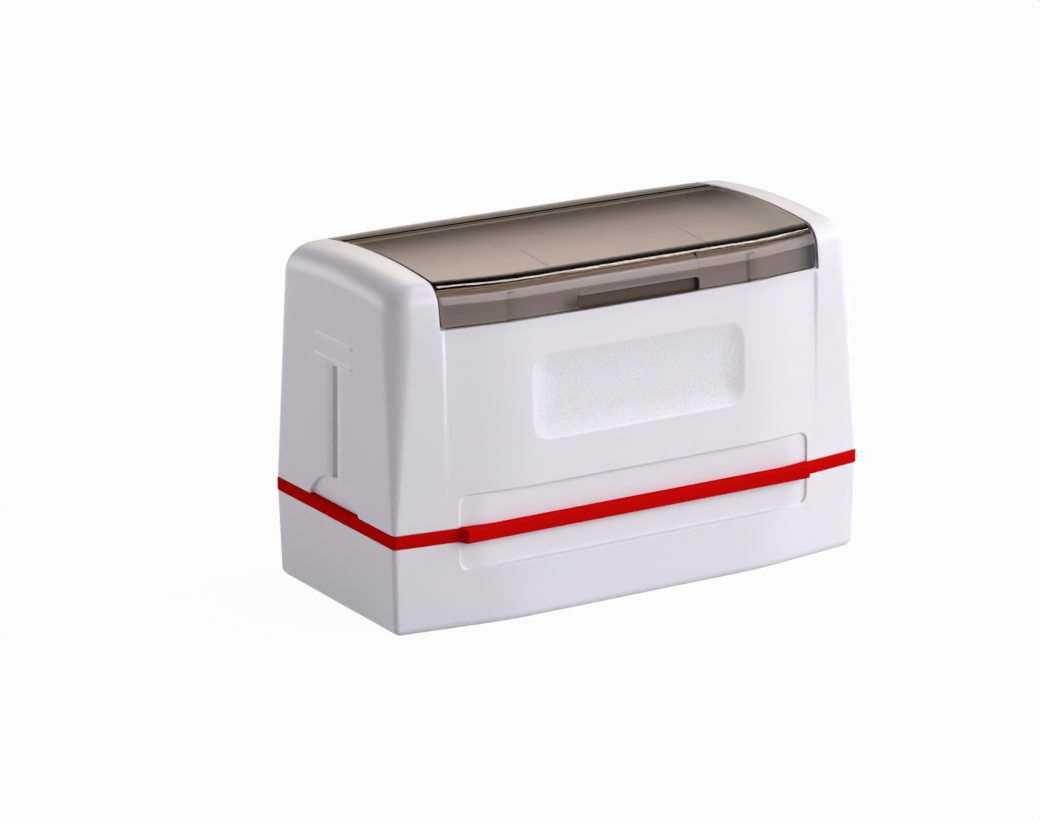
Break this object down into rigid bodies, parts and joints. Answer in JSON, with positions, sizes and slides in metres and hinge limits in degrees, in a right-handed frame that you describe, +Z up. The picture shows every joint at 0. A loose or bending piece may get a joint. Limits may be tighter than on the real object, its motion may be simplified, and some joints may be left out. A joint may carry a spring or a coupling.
{
  "type": "pre-inked stamp",
  "caption": "Capped pre-inked hand stamp: rounded white housing with a red trim band, smoke-tinted flip lid over an index card, sprung skirt sliding round a foam die, and lift-off dust cap.",
  "frame": {"origin": "middle of the dust cap's underside, on the table", "axes": "+X along the length, -Y is the front with the plaque, +Z up"},
  "size_m": [0.082, 0.0418, 0.0528],
  "materials": {
    "white_abs": "satin moulded",
    "red_abs": "satin moulded",
    "smoke_acrylic": "polished, smoke-brown, see-through",
    "card_paper": "uncoated card",
    "grey_abs": "fine texture",
    "spring_steel": "drawn wire",
    "screw_steel": "zinc plated",
    "ink_felt": "ink-soaked felt",
    "die_foam": "microporous foam"
  },
  "bodies": {
    "cap": {"dust_cap": "white_abs"},
    "housing": {"upper_housing": "white_abs", "colour_band": "red_abs", "rear_window": "smoke_acrylic", "index_card": "card_paper", "die_carrier": "grey_abs", "carrier_screws": "screw_steel", "ink_reservoir": "ink_felt", "foam_die": "die_foam", "die_retainer": "grey_abs", "spring_left": "spring_steel", "spring_right": "spring_steel"},
    "skirt": {"skirt_frame": "grey_abs"},
    "lid": {"window_lid": "smoke_acrylic"}
  },
  "joints": [
    {"name": "lift_off", "type": "slide", "parent": "cap", "child": "housing", "axis": [0, 0, 1], "range_m": [0, 0.03]},
    {"name": "press", "type": "slide", "parent": "housing", "child": "skirt", "axis": [0, 0, 1], "range_m": [0, 0.005], "stiffness_N_per_m": 800, "springref_m": -0.006, "deforming": ["spring_left", "spring_right"]},
    {"name": "lid_flip", "type": "hinge", "parent": "housing", "child": "lid", "pos_m": [0, 0.0095, 0.05119], "axis": [-1, 0, 0], "range_deg": [0, 95]}
  ]
}
